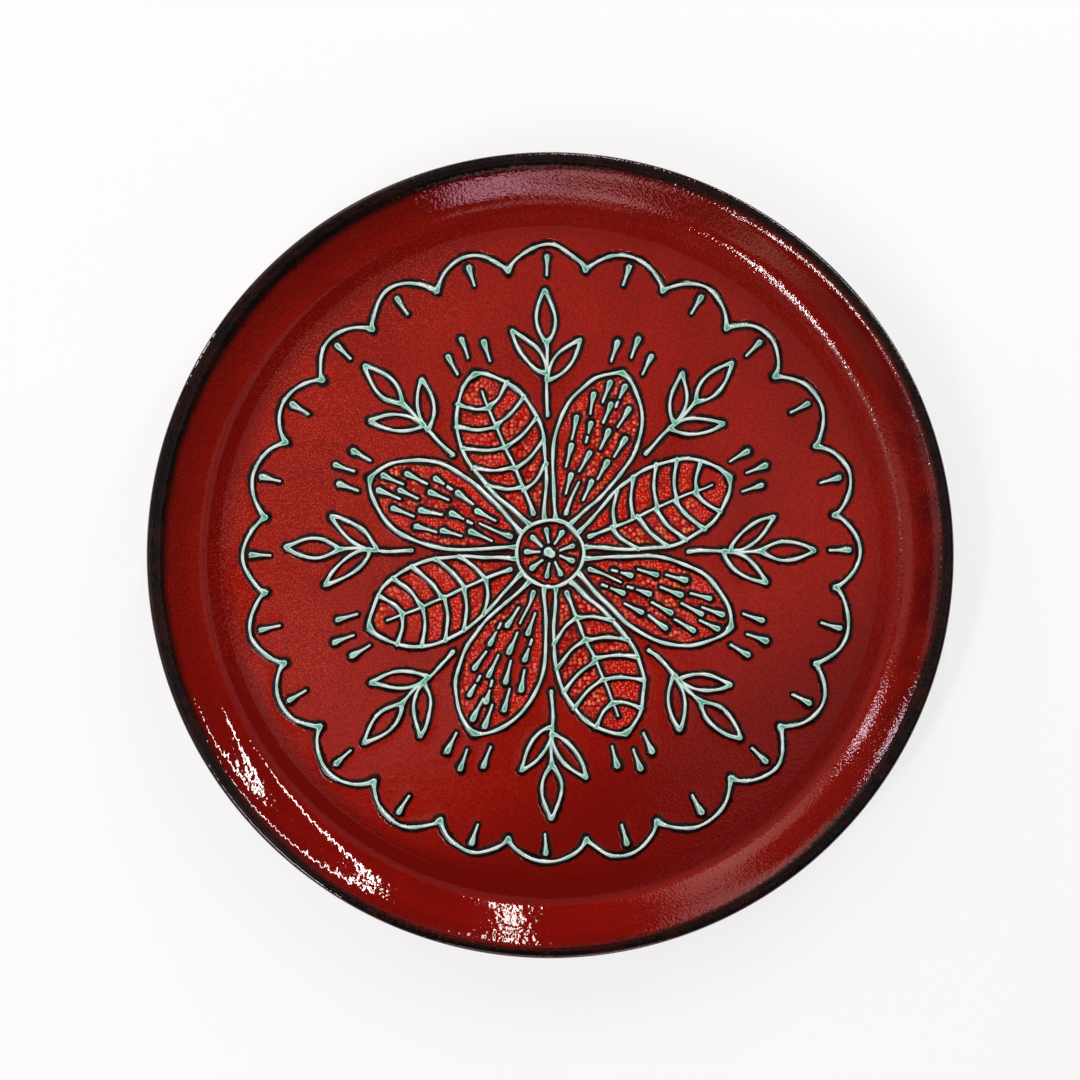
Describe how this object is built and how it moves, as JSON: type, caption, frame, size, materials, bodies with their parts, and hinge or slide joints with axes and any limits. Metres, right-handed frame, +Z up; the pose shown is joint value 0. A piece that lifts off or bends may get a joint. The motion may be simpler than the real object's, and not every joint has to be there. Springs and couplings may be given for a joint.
{
  "type": "glazed ceramic platter",
  "caption": "Round shallow serving platter of glazed stoneware, with an upswept wall, a rounded lip, raised glaze lines on its floor and a foot ring.",
  "frame": {"origin": "centre of the plane that the foot ring rests on", "axes": "+Z up along the axis the platter was turned about, +Y towards the top of the picture on its floor"},
  "size_m": [0.38, 0.38, 0.0291],
  "materials": {
    "red_glaze": "gloss",
    "line_glaze": "gloss"
  },
  "bodies": {
    "root": {"platter": "red_glaze"}
  },
  "joints": []
}
